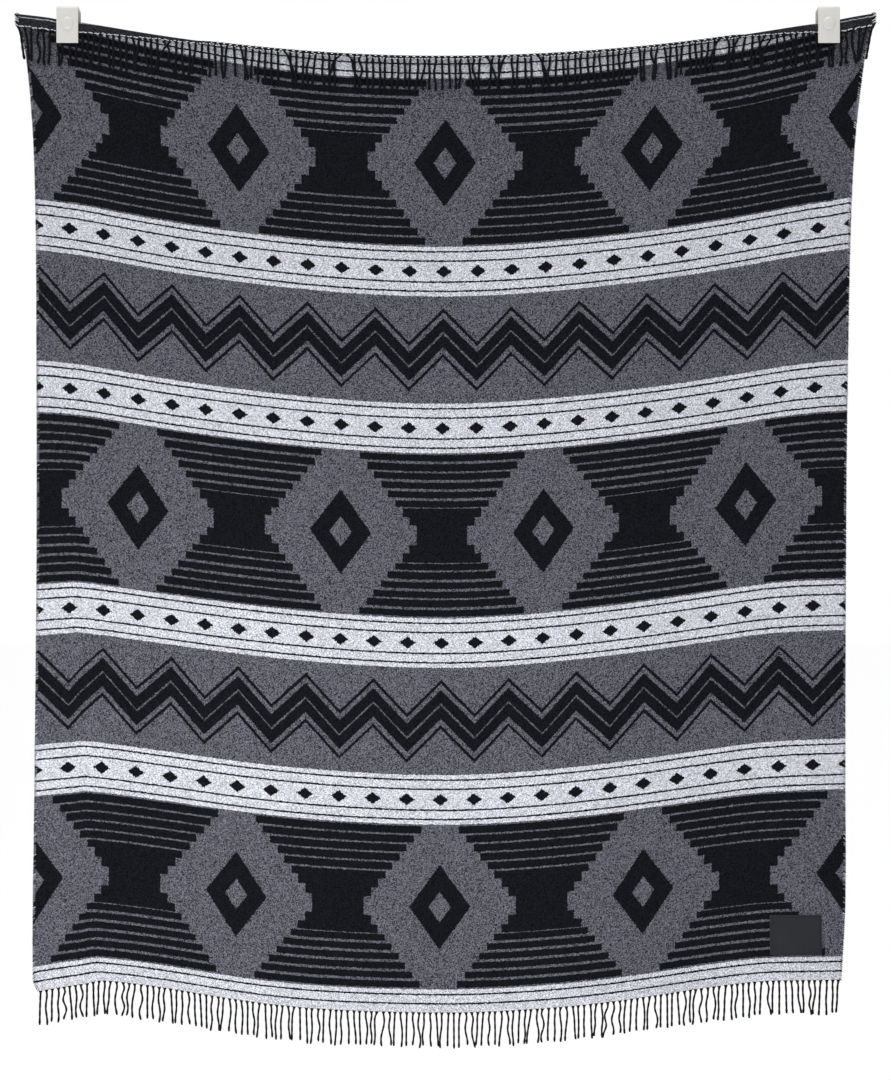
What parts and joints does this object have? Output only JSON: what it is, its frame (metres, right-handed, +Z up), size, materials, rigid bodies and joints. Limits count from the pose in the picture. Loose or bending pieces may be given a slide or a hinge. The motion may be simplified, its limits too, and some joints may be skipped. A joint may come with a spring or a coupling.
{
  "type": "fringed throw blanket hung from spring clips",
  "caption": "Rectangular woven throw with a twisted fringe at both ends, hung on a wall by its top corners from plain spring clips, so that its top edge sags.",
  "frame": {"origin": "on the wall plane, midway between the two clips", "axes": "+Z up the wall, +X to the right as seen from the front, +Y into the wall; the throw hangs on the -Y side"},
  "size_m": [1.2883, 0.0292, 1.5629],
  "materials": {
    "wool": "matte, heathered and napped",
    "yarn": "matte, twisted",
    "label_satin": "soft satin",
    "clip_plastic": "moulded, satin"
  },
  "bodies": {
    "root": {"blanket": "wool", "fringe_top": "yarn", "fringe_bottom": "yarn", "label": "label_satin", "clip_left": "clip_plastic", "clip_right": "clip_plastic"}
  },
  "joints": []
}
